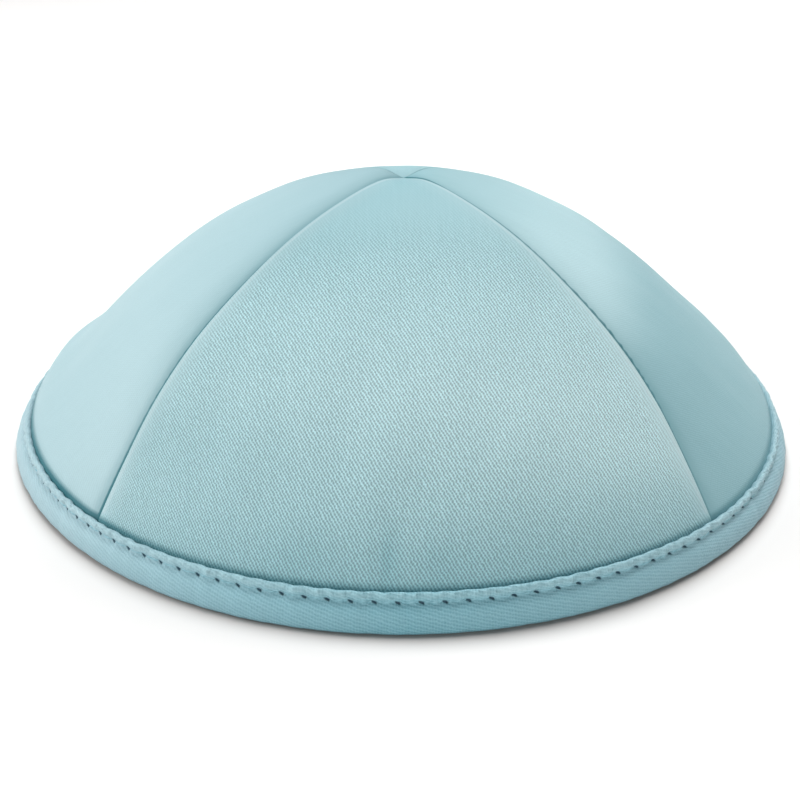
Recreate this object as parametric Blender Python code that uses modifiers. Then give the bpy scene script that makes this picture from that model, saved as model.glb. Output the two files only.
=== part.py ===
"""Four-panel kippah skullcap, lying on its rim with the hollow for the head below it.

Metres, +Z up. The origin is the centre of the rim's bottom face and the front looks
along -Y. Four shell panels meet at the apex, and a binding is folded over their
lower edge all the way round.
"""

import math

import bmesh
import bpy
from mathutils import Vector

# Rim binding
RIM_RADIUS = 0.090           # half of the cap's 180 mm width, at the foot of the binding
BINDING_RISE = 0.0072        # floor to the binding's upper lip
BINDING_INSET = 0.0029       # how far the lip lies inside the foot
BINDING_THICKNESS = 0.0010   # one leaf of the folded binding
STITCH_DROP = 0.0016         # lip down to the groove that the line of stitches pulls in
STITCH_DEPTH = 0.0004        # depth of that groove
FACE_SWELL = 0.0003          # how far the leaf swells out between the groove and the foot
LIP_SWELL = 0.0002           # how far it swells out between the groove and the lip
LIP_ROUNDING = 0.0004        # rounding of the upper lips
FOOT_ROUNDING = 0.0006       # rounding of the fold beside its flat foot

# Crown
CROWN_RISE = 0.0595          # floor to the top, round the apex
PANEL_THICKNESS = 0.0012     # satin with its backing

# Clearances between neighbouring pieces
SEAM_GAP = 0.0003            # between two panels, along a seam
FIT_GAP = 0.0003             # between a panel and each leaf or fold of the binding

# Fineness of the curved surfaces
PANEL_COLUMNS = 16           # strips across one panel, seam to seam
ROWS_PER_SECTION = 2         # strips between two sections of the table below
TUCKED_ROWS = 2              # strips of a panel inside the binding
SWELL_STEPS = 4              # strips of the binding's face between two creases
SHARP_ANGLE = math.radians(40)   # edges sharper than this are not shaded smooth

# Four equal panels, each named with the direction it faces, in degrees from the front
PANEL_FACING = {"panel_front": 0, "panel_right": 90, "panel_back": 180, "panel_left": 270}
PANEL_ANGLE = math.radians(360 / len(PANEL_FACING))

# Sections of the crown, from the apex to the lip of the binding.
# out: the seam's distance from the axis, as a share of the crown's radius at the lip
# front, back: the height of the front panel's two seams and of the back panel's two, as
#        shares of the crown above the lip
# bulge: the height of the panel's arc over the straight line from seam to seam, as a share
#        of that line
# lean: degrees by which that arc leans up from level
CIRCLE_BULGE_RATIO = math.tan(PANEL_ANGLE / 4) / 2   # the bulge of a circle round the axis
CROWN_SECTIONS = [
    # out, front, back, bulge, lean
    (0.00, 0.984, 0.984, 0.010, 90),
    (0.10, 1.000, 0.997, 0.018, 80),
    (0.25, 0.952, 0.932, 0.020, 68),
    (0.40, 0.868, 0.844, 0.035, 59),
    (0.55, 0.743, 0.727, 0.062, 50),
    (0.70, 0.585, 0.582, 0.085, 40),
    (0.82, 0.407, 0.408, 0.115, 26),
    (0.92, 0.202, 0.199, 0.158, 12),
    (1.00, 0.000, 0.000, CIRCLE_BULGE_RATIO, 0),
]

# Colours and finish
SATIN_BLUE = (0.42, 0.60, 0.64)
BINDING_BLUE = (0.36, 0.55, 0.60)
SATIN_ROUGHNESS = 0.5


def direction(degrees):
    """The level unit vector that many degrees round from the front, towards the right."""
    angle = math.radians(degrees)
    return Vector((math.sin(angle), -math.cos(angle), 0))


def wall_slant():
    """The angle between the binding's outer face and the vertical."""
    return math.atan2(BINDING_INSET, BINDING_RISE)


def binding_radius(height, depth):
    """The radius at a height, a depth inside the binding's outer face, measured square to it."""
    widest = FOOT_ROUNDING * math.cos(wall_slant())
    outer = RIM_RADIUS + BINDING_INSET * (widest - height) / BINDING_RISE
    return outer - depth / math.cos(wall_slant())


def panel_depth():
    """How deep a panel's outer face lies under the binding's outer face."""
    return BINDING_THICKNESS + FIT_GAP


def crown_radius():
    """The crown's radius where it comes out of the binding."""
    return binding_radius(BINDING_RISE, panel_depth())


def smooth_value(column, place):
    """A column of the section table, read smoothly at a place counted in rows of the table."""
    low = min(int(place), len(CROWN_SECTIONS) - 2)
    share = place - low
    start = CROWN_SECTIONS[low][column]
    end = CROWN_SECTIONS[low + 1][column]
    before = CROWN_SECTIONS[low - 1][column] if low else 2 * start - end
    last = low + 2 == len(CROWN_SECTIONS)
    after = 2 * end - start if last else CROWN_SECTIONS[low + 2][column]
    leave = (end - before) / 2
    arrive = (after - start) / 2
    square, cube = share ** 2, share ** 3
    blend_start = 2 * cube - 3 * square + 1
    blend_leave = cube - 2 * square + share
    blend_arrive = cube - square
    return (blend_start * start + blend_leave * leave
            + (1 - blend_start) * end + blend_arrive * arrive)


def seam_point(degrees, place):
    """A point of the seam in that direction, at a place in the section table."""
    out, front, back = (smooth_value(column, place) for column in range(3))
    way = direction(degrees)
    rise = front if way.y < 0 else back
    height = BINDING_RISE + rise * (CROWN_RISE - BINDING_RISE)
    return way * (out * crown_radius()) + Vector((0, 0, height))


def row_ends(facing):
    """For a panel's left and right seam: its direction, and the level way in from it."""
    half_span = math.degrees(PANEL_ANGLE) / 2
    return [(facing - half_span, direction(facing - half_span + 90)),
            (facing + half_span, direction(facing + half_span - 90))]


def arc_points(start, end, facing, bulge, lean):
    """Points of a circular arc from start to end, bulging out and up by the lean."""
    chord = end - start
    half = chord.length / 2
    across = chord.normalized()
    outward = direction(facing) * math.cos(lean) + Vector((0, 0, math.sin(lean)))
    opening = 2 * math.atan(2 * bulge)
    middle = (start + end) / 2
    points = []
    for column in range(PANEL_COLUMNS + 1):
        angle = opening * (2 * column / PANEL_COLUMNS - 1)
        along = half * math.sin(angle) / math.sin(opening)
        over = half * (math.cos(angle) - math.cos(opening)) / math.sin(opening)
        points.append(middle + across * along + outward * over)
    return points


def outer_rows(facing):
    """The rows of points of a panel's outer face, from just below the apex to its hidden edge."""
    rows = []
    (left, from_left), (right, from_right) = row_ends(facing)
    left_gap, right_gap = from_left * (SEAM_GAP / 2), from_right * (SEAM_GAP / 2)
    steps = (len(CROWN_SECTIONS) - 1) * ROWS_PER_SECTION
    for step in range(1, steps + 1):
        place = step / ROWS_PER_SECTION
        bulge = smooth_value(3, place)
        lean = math.radians(smooth_value(4, place))
        rows.append(arc_points(seam_point(left, place) + left_gap,
                               seam_point(right, place) + right_gap, facing, bulge, lean))
    edge_height = BINDING_THICKNESS + FIT_GAP + PANEL_THICKNESS * math.sin(wall_slant())
    for step in range(1, TUCKED_ROWS + 1):
        height = BINDING_RISE + (edge_height - BINDING_RISE) * step / TUCKED_ROWS
        radius = binding_radius(height, panel_depth())
        level = Vector((0, 0, height))
        rows.append(arc_points(direction(left) * radius + level + left_gap,
                               direction(right) * radius + level + right_gap, facing,
                               CIRCLE_BULGE_RATIO, 0))
    return rows


def inner_rows(rows, facing):
    """The rows of the panel's inner face: the wall's thickness in, and trimmed at the seams."""
    inside = []
    for number, row in enumerate(rows):
        above = rows[max(number - 1, 0)]
        below = rows[min(number + 1, len(rows) - 1)]
        moved = []
        for column, point in enumerate(row):
            along = row[min(column + 1, PANEL_COLUMNS)] - row[max(column - 1, 0)]
            normal = (below[column] - above[column]).cross(along).normalized()
            moved.append(point - normal * PANEL_THICKNESS)
        (_, from_left), (_, from_right) = row_ends(facing)
        moved[0] = trimmed(moved[1], moved[0], from_left)
        moved[-1] = trimmed(moved[-2], moved[-1], from_right)
        inside.append(moved)
    return inside


def trimmed(near, end, inward):
    """The end of a row, slid along the row until it is half a seam gap in from the seam."""
    near_depth, end_depth = near.dot(inward), end.dot(inward)
    return near.lerp(end, (near_depth - SEAM_GAP / 2) / (near_depth - end_depth))


def new_object(name, mesh, collection):
    """An object of that mesh in a collection."""
    made = bpy.data.objects.new(name, mesh)
    collection.objects.link(made)
    return made


def satin(name, colour):
    """A plain satin finish."""
    material = bpy.data.materials.new(name)
    material.use_nodes = True
    shader = material.node_tree.nodes["Principled BSDF"]
    shader.inputs["Base Color"].default_value = (*colour, 1)
    shader.inputs["Roughness"].default_value = SATIN_ROUGHNESS
    shader.inputs["Metallic"].default_value = 0
    return material


def loft_side(mesh, tip, rows, flipped):
    """One face of a panel: a fan from its tip, then strips from row to row."""
    top = mesh.verts.new(tip)
    grid = [[mesh.verts.new(point) for point in row] for row in rows]
    faces = [(top, grid[0][column], grid[0][column + 1]) for column in range(PANEL_COLUMNS)]
    for upper, lower in zip(grid, grid[1:]):
        faces += [(upper[column], lower[column], lower[column + 1], upper[column + 1])
                  for column in range(PANEL_COLUMNS)]
    for corners in faces:
        mesh.faces.new(corners[::-1] if flipped else corners)
    border = [top] + [row[0] for row in grid] + grid[-1][1:-1]
    return border + [row[-1] for row in reversed(grid)]


def make_panel(name, facing, material, parts):
    """One panel: its outer and inner faces, joined all round by the cut edge of the wall."""
    corner = direction(facing) * (SEAM_GAP / 2 / math.sin(PANEL_ANGLE / 2))
    tip = corner + Vector((0, 0, seam_point(facing, 0).z))
    rows = outer_rows(facing)
    shell = bmesh.new()
    outer_border = loft_side(shell, tip, rows, False)
    inner_tip = tip - Vector((0, 0, PANEL_THICKNESS))
    inner_border = loft_side(shell, inner_tip, inner_rows(rows, facing), True)
    sides = zip(outer_border, outer_border[1:] + outer_border[:1],
                inner_border[1:] + inner_border[:1], inner_border)
    for start, end, inner_end, inner_start in sides:
        shell.faces.new((end, start, inner_start, inner_end))
    mesh = bpy.data.meshes.new(name)
    shell.to_mesh(mesh)
    shell.free()
    mesh.shade_smooth()
    mesh.set_sharp_from_angle(angle=SHARP_ANGLE)
    panel = new_object(name, mesh, parts)
    panel.data.materials.append(material)
    return panel


def swell(start, end, height):
    """Points between two corners of a section, on an arc that stands out by the height."""
    points = []
    for step in range(1, SWELL_STEPS):
        share = step / SWELL_STEPS
        depth = start[0] + (end[0] - start[0]) * share - 4 * height * share * (1 - share)
        points.append((depth, start[1] + (end[1] - start[1]) * share, None))
    return points


def binding_profile():
    """The folded binding's cross-section, down its outer face and back up the inside.

    Each corner is its depth inside the outer slant, its height and which rounding it gets.
    """
    total = 2 * (BINDING_THICKNESS + FIT_GAP) + PANEL_THICKNESS
    inner_leaf = total - BINDING_THICKNESS
    inner_rise = BINDING_RISE - PANEL_THICKNESS
    lip = (0, BINDING_RISE, "lip")
    groove = (STITCH_DEPTH, BINDING_RISE - STITCH_DROP, None)
    foot = (0, 0, "foot")
    return [
        lip,
        *swell(lip, groove, LIP_SWELL),
        groove,
        *swell(groove, foot, FACE_SWELL),
        foot,
        (total, 0, "foot"),
        (total, inner_rise, "lip"),
        (inner_leaf, inner_rise, "lip"),
        (inner_leaf, BINDING_THICKNESS, None),
        (BINDING_THICKNESS, BINDING_THICKNESS, None),
        (BINDING_THICKNESS, BINDING_RISE, "lip"),
    ]


def make_binding(name, material, parts):
    """The binding: its folded cross-section turned round the cap's axis."""
    section = bmesh.new()
    corners = binding_profile()
    verts = [section.verts.new((binding_radius(height, depth), 0, height))
             for depth, height, _ in corners]
    for start, end in zip(verts, verts[1:] + verts[:1]):
        section.edges.new((start, end))
    for place, rounding in (("foot", FOOT_ROUNDING), ("lip", LIP_ROUNDING)):
        chosen = [vert for vert, corner in zip(verts, corners) if corner[2] == place]
        bmesh.ops.bevel(section, geom=chosen, offset=rounding, segments=2, profile=0.5,
                        affect="VERTICES")
    mesh = bpy.data.meshes.new(name)
    section.to_mesh(mesh)
    section.free()
    binding = new_object(name, mesh, parts)
    binding.data.materials.append(material)
    turn = binding.modifiers.new("Turn", "SCREW")
    turn.axis = "Z"
    turn.steps = len(PANEL_FACING) * PANEL_COLUMNS
    turn.render_steps = turn.steps
    turn.use_normal_calculate = True
    turn.use_merge_vertices = True
    turn.merge_threshold = 0.00001
    turn.use_smooth_shade = True
    return binding


def main():
    for old in list(bpy.data.objects):
        bpy.data.objects.remove(old)
    parts = bpy.data.collections.new("kippah_skullcap")
    bpy.context.scene.collection.children.link(parts)
    panel_satin = satin("panel_satin", SATIN_BLUE)
    binding_satin = satin("binding_satin", BINDING_BLUE)
    for name, facing in PANEL_FACING.items():
        make_panel(name, facing, panel_satin, parts)
    make_binding("rim_binding", binding_satin, parts)


main()
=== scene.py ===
"""Satin skullcap: four panels sewn along their seams, a folded binding and its stitches.

Metres, +Z up. The cap lies on its rim, centred on the Z axis, and its front looks along -Y.
Directions round the cap are degrees from the front, growing towards +X.
"""

import math

import bpy
import numpy as np
from bpy.props import FloatProperty, FloatVectorProperty, IntProperty, PointerProperty
from mathutils import Matrix, Vector


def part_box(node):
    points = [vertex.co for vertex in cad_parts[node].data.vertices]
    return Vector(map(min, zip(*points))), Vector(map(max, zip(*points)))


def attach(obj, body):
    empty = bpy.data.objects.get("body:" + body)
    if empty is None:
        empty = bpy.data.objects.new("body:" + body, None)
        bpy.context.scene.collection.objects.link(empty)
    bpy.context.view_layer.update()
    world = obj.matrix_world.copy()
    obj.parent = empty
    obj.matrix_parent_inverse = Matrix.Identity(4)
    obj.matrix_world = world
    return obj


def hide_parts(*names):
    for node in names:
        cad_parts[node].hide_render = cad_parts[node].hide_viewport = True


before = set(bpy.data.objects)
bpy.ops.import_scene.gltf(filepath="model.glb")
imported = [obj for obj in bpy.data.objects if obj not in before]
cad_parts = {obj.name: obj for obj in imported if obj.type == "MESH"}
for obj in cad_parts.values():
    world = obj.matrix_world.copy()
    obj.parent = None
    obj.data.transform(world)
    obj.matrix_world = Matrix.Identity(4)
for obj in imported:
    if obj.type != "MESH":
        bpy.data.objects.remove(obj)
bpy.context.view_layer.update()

bl_info = {
    "name": "Satin Skullcap",
    "version": (1, 0, 0),
    "blender": (4, 5, 0),
    "location": "3D View > Sidebar > Skullcap",
    "description": "Sews a four-panel satin skullcap with a folded and stitched binding",
    "category": "Object",
}

BINDING_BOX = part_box("rim_binding")
FRONT_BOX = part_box("panel_front")

# The four panels: piece, the node it stands for, the direction it faces, how clearly its
# weave shows, how much painted gloss pales it, and how its left and right edges are pressed at
# their seams
PANELS = [
    # piece, node, facing, weave, painted gloss, left edge, right edge
    ("cloth_front", "panel_front", 0, 1.0, 0.00, "over", "raised"),
    ("cloth_right", "panel_right", 90, 0.2, 0.00, "under", "plain"),
    ("cloth_back", "panel_back", 180, 0.6, 0.00, "plain", "plain"),
    ("cloth_left", "panel_left", 270, 0.2, 0.25, "plain", "valley"),
]

HALF_SPAN = 45  # degrees from the middle of a panel to its seams
SEAM_GAP = 0.00001  # from the plane of a seam to each panel

# How a panel's edge is pressed at a seam. ridge: its rise over the seam allowance, as a share
# of the seam's ridge, and as much painted highlight beside it; dip: how far it sinks beside the
# seam, as a share of the seam's dip; crease, valley: how dark it is painted in the seam and
# beside it, as painted shade; reach: how far the crease's painted shade comes out onto the
# cloth, in millimetres; apex: how dark the crease's painted shade is at the apex, as a share of
# that;
# lip: the same at the binding, where its reach shrinks by as much
EDGES = {
    # ridge, dip, crease, valley, reach, apex, lip
    "over": (1.0, 0.0, 0.75, 0.00, 0.3, 0.3, 1.0),
    "raised": (1.0, 0.0, 0.90, 0.00, 0.5, 1.0, 0.4),
    "under": (0.0, 0.5, 0.85, 0.28, 0.9, 1.0, 0.5),
    "valley": (0.0, 1.0, 0.90, 0.50, 0.9, 0.4, 1.0),
    "plain": (0.0, 0.2, 0.35, 0.08, 0.3, 0.1, 1.0),
}
# Where the painted shade of the creases and valleys changes, in metres from the apex
CREASE_GROWS = (0.008, 0.040)
CREASE_FADES = (0.050, 0.080)
VALLEY_FADES = (0.055, 0.095)

# Widths beside a seam, in metres
NARROW = 0.02  # of a panel, below which all of this shrinks with it
SEAM_ROLL = 0.0006  # over which the cloth rolls down into the seam
RIDGE = (0.0007, 0.0008, 0.0028)  # where the ridge is full, where it falls, how far it runs
DIP_WIDTH = 0.0022  # of the dip beside the seam
# Painted shade and painted highlights beside a seam, and the painted shadow line at the
# binding:
CREASE_SOFTNESS = 0.00022  # of the crease's outer edge
VALLEY_SHADE = ((0.65, 0.0022), (0.48, 0.0080))  # its narrow and its broad share and width
RIDGE_LIGHT = ((0.28, 0.0012, 0.0004), (0.08, 0.0020, 0.0025))  # share, place and width
LIP_CONTACT = 0.0008  # width of the dark line at the binding

# Painted sheen: how much lighter each panel's satin is painted where it catches more light,
# from the apex down to the lip
PAINTED_SHEEN = {
    # facing: (down, share at the left, in the middle, at the right)
    0: [
        (0.00, -0.25, -0.25, -0.25),
        (0.38, -0.12, -0.10, -0.05),
        (0.60, 0.14, 0.22, 0.32),
        (0.75, 0.10, 0.38, 0.58),
        (0.83, 0.00, 0.26, 0.65),
        (0.93, 0.08, 0.02, 0.20),
        (1.00, 0.00, -0.25, -0.05),
    ],
    90: [
        (0.00, -0.10, -0.10, -0.10),
        (0.30, 0.05, 0.05, 0.05),
        (0.45, 0.18, 0.18, 0.18),
        (0.58, 0.18, 0.18, 0.18),
        (0.70, -0.22, -0.22, -0.22),
        (1.00, -0.16, -0.16, -0.16),
    ],
    180: [
        (0.00, 0.00, 0.00, 0.00),
        (1.00, 0.00, 0.00, 0.00),
    ],
    270: [
        (0.00, -0.32, -0.32, -0.32),
        (0.23, -0.26, -0.26, -0.26),
        (0.53, -0.06, -0.06, -0.06),
        (0.73, 0.06, 0.06, 0.06),
        (1.00, -0.10, -0.10, -0.10),
    ],
}

# Painted shadow: how dark the panels are painted where they meet the binding
PAINTED_LIP_SHADOW = [
    # degrees round the cap, share
    (0, 0.50),
    (45, 0.40),
    (100, 0.30),
    (180, 0.35),
    (265, 0.75),
    (305, 0.95),
    (330, 0.65),
    (360, 0.50),
]

# Sections of the crown, from the apex to the lip of the binding.
# out: the seam's distance from the axis, as a share of the crown's radius at the lip
# front, back: the seams' heights at the front and the back, as shares of the crown's height
# bulge: the height of a panel's arc over the straight line between its seams, as a share of it
# lean: degrees by which that arc leans up from level
CROWN_SECTIONS = np.array([
    # out, front, back, bulge, lean
    (0.00, 0.984, 0.984, 0.010, 90),
    (0.10, 1.000, 0.997, 0.018, 80),
    (0.25, 0.952, 0.932, 0.020, 68),
    (0.40, 0.868, 0.844, 0.035, 59),
    (0.55, 0.743, 0.727, 0.062, 50),
    (0.70, 0.585, 0.582, 0.085, 40),
    (0.82, 0.407, 0.408, 0.115, 26),
    (0.92, 0.202, 0.199, 0.158, 12),
    (1.00, 0.000, 0.000, 0.207, 0),
])
TUCK = 0.06  # how far the cloth runs on under the binding, in crown lengths

# Where the sides are fuller, just above the binding
SIDE_FULLNESS = [
    # degrees round the cap, down the panel, spread down it, outwards in metres
    (258, 0.962, 0.038, 0.0017),
    (102, 0.930, 0.085, 0.0012),
]
FULLNESS_SPREAD = 17  # degrees round the cap

# Short wrinkles beside the seams of the side panels, in metres
PUCKERS = {
    # facing: (edge, depth, start, end, reach, pitch, seed)
    90: [
        ("left", 0.00016, 0.034, 0.074, 0.0022, 0.0021, 3),
        ("right", 0.00005, 0.040, 0.090, 0.0020, 0.0025, 4),
    ],
    270: [
        ("right", 0.00005, 0.030, 0.095, 0.0020, 0.0026, 5),
        ("left", 0.00005, 0.040, 0.090, 0.0020, 0.0025, 6),
    ],
}

PUCKER_START = 0.0006  # from the seam to where the wrinkles are deepest
PUCKER_DRIFT = (0.0061, 0.0097, 0.0151)  # lengths over which their pitch drifts

# Dents in the front panel above the binding, in metres
FRONT_DENTS = [
    # from the middle, above the lip, width, height, depth
    (-0.0035, 0.0060, 0.0017, 0.0055, 0.00035),
    (0.0060, 0.0040, 0.0040, 0.0050, 0.00012),
    (-0.0200, 0.0050, 0.0060, 0.0060, 0.00012),
]
# Painted shade in the front panel's dents:
DENT_SHADE = 500  # how much darker a dent is, for each metre of its depth

CLOTH_WAVES = 0.00018  # height of the faint waves in the stretched cloth
WAVE_PITCH = (0.022, 0.050)  # least and greatest length of a wave
LIP_FOLLOW = 0.55  # how much of the rim's wander the panels follow at the lip
LIP_LIFT = 0.0003  # how far they stand out there

# Fineness of the panels' grids
ROWS = 132
COLUMNS = 128
CROWDING = 0.82  # how much closer the columns stand at the seams
TUCKED_ROWS = 4

UV_UNIT = 0.2  # metres of cloth across a whole UV map

# The binding's cross-section, a loop that runs down the outside and back up the inside
BINDING_SECTION = [
    # out from the rim's radius, height above the floor, both in millimetres
    (-3.35, 6.90),
    (-2.85, 7.25),
    (-2.35, 7.10),
    (-2.05, 6.60),
    (-2.15, 6.00),
    (-2.40, 5.55),
    (-1.95, 5.10),
    (-1.25, 4.60),
    (-0.60, 3.70),
    (-0.20, 2.60),
    (-0.00, 1.60),
    (-0.15, 0.70),
    (-0.75, 0.10),
    (-1.80, 0.00),
    (-2.80, 0.00),
    (-3.60, 0.20),
    (-4.20, 0.90),
    (-5.20, 3.00),
    (-6.25, 5.60),
    (-6.20, 6.05),
    (-5.80, 5.95),
    (-4.90, 3.40),
    (-3.90, 2.60),
    (-3.55, 3.60),
    (-3.75, 5.20),
    (-3.75, 6.20),
]
SECTION_POINTS = 46  # corners of the finished cross-section
GROOVE = (-2.40, 5.55)  # where the stitches pull the binding in, as above
OUTER_LEAF = -0.0037  # how far inside the rim's radius the outer leaf ends
LIP_ROLL = 0.0008  # height over which the lip rolls out above the groove
LIP_SWELL = 0.00022  # how far the lip swells out between two stitches
LIP_WRINKLES = 0.00012  # depth of the wrinkles on the lip
FACE_WRINKLES = 0.00005  # and of those on the face below it
LIP_WAVES = 0.00006  # how far the wrinkles lift the lip
FLAT_BEHIND = 0.3  # how full all of that is at the back, as a share
STITCH_TUG = 0.00026  # how deep a stitch pulls the binding in
TUG_WIDTH = 0.0009  # and how far round it

# Wrinkles round the binding
WRINKLES = [
    # waves round the cap, share
    (37, 0.5),
    (61, 0.6),
    (97, 0.5),
    (151, 0.35),
    (223, 0.25),
]

RIM_STEPS_A_STITCH = 12  # steps of the binding's ring between two needle holes
STITCH_START = math.radians(-57.47)  # a needle hole, round the cap from the front
STITCH_SHARE = 0.86  # a stitch's length, as a share of the distance between holes
STITCH_DIVE = 0.00045  # how far a stitch's ends bend into the cloth
STITCH_TILT = 0.05  # how far stitches lie askew, in radians
THREAD_LIFT = 0.00002  # how far the thread lies off the cloth

# How far the rim wanders out of round
RIM_WANDER = [
    # degrees round the cap, outwards in millimetres, upwards at the lip in millimetres
    (0, 0.35, 0.65),
    (18, 0.00, 0.70),
    (34, 0.10, 0.65),
    (48, 0.20, -0.10),
    (75, 0.45, 0.10),
    (92, 0.30, 0.00),
    (112, -1.00, -0.70),
    (130, -1.30, -0.70),
    (155, -0.60, 0.00),
    (180, 0.00, 0.10),
    (210, -0.80, 0.00),
    (235, -1.60, -0.80),
    (252, -1.10, -0.80),
    (268, 0.50, -0.20),
    (285, 0.90, 0.00),
    (303, 0.10, -0.10),
    (312, 0.20, -0.10),
    (326, 0.40, 0.55),
    (342, 0.50, 0.65),
]

# Painted sheen: how much paler the binding is painted round the cap, where it catches more
# light
PAINTED_RIM_SHEEN = [
    # degrees round the cap, share
    (0, 0.00),
    (45, 0.24),
    (90, 0.28),
    (180, 0.00),
    (250, 0.25),
    (280, 0.45),
    (310, 0.38),
    (340, 0.14),
    (360, 0.00),
]

# Waves that make up the satin's weave, in cycles a millimetre across and down the cloth
WEAVE_WAVES = [
    # across, down, strength
    (-1.37, 0.76, 0.62),
    (1.30, 1.27, 0.30),
    (-0.07, 2.03, 0.08),
]
WEAVE_WOBBLE = 0.96  # how far the waves wander, in cycles
WEAVE_SHADE = 0.60  # how much darker the weave's dips are than its floats
WEAVE_DEPTH = 0.00010  # depth of the dips, in metres
WEAVE_CONTRAST = 1.7  # how hard the panels' weave is
# How clearly the weave shows there, and the distances over which that grows to the full
CLEAR_AT_SEAMS = (0.25, 0.0005, 0.0060)
CLEAR_AT_APEX = (0.08, 0.014, 0.038)

HOLE_SIZE = (0.66, 0.34)  # half of a needle hole's width and height, in millimetres
HOLE_SLANT = 0.40  # how far it falls to the right, as a share of its width
LIP_MIDDLE = 1.5  # from the needle holes up to the middle of the lip, in millimetres
LIP_WIDTH = 1.6  # half of the lip's width, in millimetres
# Painted highlight on the rolled lip:
LIP_SATIN = 0.25  # how far its colour goes over to the panels'
# Painted shade, darker towards the binding's foot:
FOOT_FADE = (2.5, 3.0)  # where the foot's shade starts below the holes, and its width
FOOT_SHADE = 0.2  # how much darker the foot is
BINDING_WEAVE = 0.6  # how much darker the dips of the binding's weave are
# Painted light and shade on the lip's puckers:
PUCKER_SHADE = 2.2  # how much the lip's puckers change its shade

LOOK_AT = (-0.00046, 0, 0.0031)  # what the camera looks at, before its turn
LIGHTS_AIM = (0, 0, 0.03)  # what the lights face
SOFTBOXES = [
    # side, width, place
    ("top", 0.6, (0, 0.2, 1.0)),
    ("left", 0.5, (-0.95, 0.10, 0.45)),
    ("front", 0.4, (0, -1.0, 0.2)),
    ("back", 0.6, (0.10, 0.62, 0.80)),
    ("right", 0.6, (0.6, 0.6, 0.6)),
]
# A contact shadow painted on the floor:
SHADOW_START = 0.0898  # radius at which the contact shadow is full
SHADOW_WIDTH = 0.0011  # how far it reaches past that, at the sides and the back
SHADOW_FRONT = 0.0046  # how much farther it reaches in front
SHADOW_TURN = 12  # how fast it grows towards the front, for each metre
SHADOW_SHARE = 0.68  # how dark it is

# What the properties of a kind share
LENGTH = {"unit": "LENGTH", "subtype": "DISTANCE", "precision": 4}
ANGLE = {"unit": "ROTATION", "subtype": "ANGLE"}
COLOUR = {"subtype": "COLOR", "min": 0, "max": 1}
POWER = {"unit": "POWER", "min": 0}


class SkullcapSizes(bpy.types.PropertyGroup):
    """Sizes of the cap's cloth, seams and stitches."""

    rim_radius: FloatProperty(
        name="Rim Radius", description="Half of the cap's width at its foot",
        default=0.090, **LENGTH)
    lip_height: FloatProperty(
        name="Lip Height", description="Height of the binding's lip, where the crown begins",
        default=BINDING_BOX[1].z, **LENGTH)
    lip_inset: FloatProperty(
        name="Lip Inset", description="How far inside the rim the crown comes out",
        default=0.0041, **LENGTH)
    crown_height: FloatProperty(
        name="Crown Height", description="Height of the seams round the apex",
        default=FRONT_BOX[1].z - 0.0002, **LENGTH)
    wall: FloatProperty(
        name="Cloth Thickness", description="Thickness of the satin with its backing",
        default=0.0012, **LENGTH)
    seam_depth: FloatProperty(
        name="Seam Depth", description="How deep the cloth rolls down into a seam",
        default=0.0006, **LENGTH)
    seam_ridge: FloatProperty(
        name="Seam Ridge", description="Rise of the upper panel's edge over its seam allowance",
        default=0.00035, **LENGTH)
    seam_dip: FloatProperty(
        name="Seam Dip", description="How far the lower panel sinks beside a seam",
        default=0.0006, **LENGTH)
    stitches: IntProperty(
        name="Stitches", description="Stitches round the binding", default=128, min=8)
    thread: FloatProperty(
        name="Thread", description="Thickness of the sewing thread",
        default=0.00042, unit="LENGTH", subtype="DISTANCE", precision=5)


class SkullcapColours(bpy.types.PropertyGroup):
    """Colours of the cap and of the floor."""

    satin: FloatVectorProperty(
        name="Satin", description="Colour of the panels",
        default=(0.50, 0.70, 0.735), **COLOUR)
    # Painted shade: the dark end of the panels' painted sheen and faint streaks
    satin_in_painted_shade: FloatVectorProperty(
        name="Satin Shade", description="Colour between the floats of the satin's weave",
        default=(0.17, 0.365, 0.412), **COLOUR)
    # Painted shade in the seams and painted shadow at the binding
    crease: FloatVectorProperty(
        name="Crease", description="Colour of the satin deep in a seam",
        default=(0.012, 0.145, 0.175), **COLOUR)
    # Painted highlight: on pressed edges, for the left panel's painted gloss and for the
    # binding's painted sheen
    edge: FloatVectorProperty(
        name="Edge", description="Colour of the satin on a pressed edge",
        default=(0.60, 0.68, 0.71), **COLOUR)
    binding: FloatVectorProperty(
        name="Binding", description="Colour of the binding",
        default=(0.30, 0.56, 0.635), **COLOUR)
    # Also the painted shade at the foot and on the lip's puckers
    binding_shade: FloatVectorProperty(
        name="Binding Shade", description="Colour between the floats of the binding's weave",
        default=(0.125, 0.33, 0.40), **COLOUR)
    # Painted shade inside the needle holes
    hole: FloatVectorProperty(
        name="Needle Hole", description="Colour inside the stitch holes",
        default=(0.04, 0.10, 0.14), **COLOUR)
    # Painted contact shadow on the floor
    shadow: FloatVectorProperty(
        name="Contact Shadow", description="Colour of the floor right beside the rim",
        default=(0.27, 0.205, 0.18), **COLOUR)
    floor: FloatVectorProperty(
        name="Floor", description="Colour of the floor",
        default=(0.87, 0.86, 0.85), **COLOUR)


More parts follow.
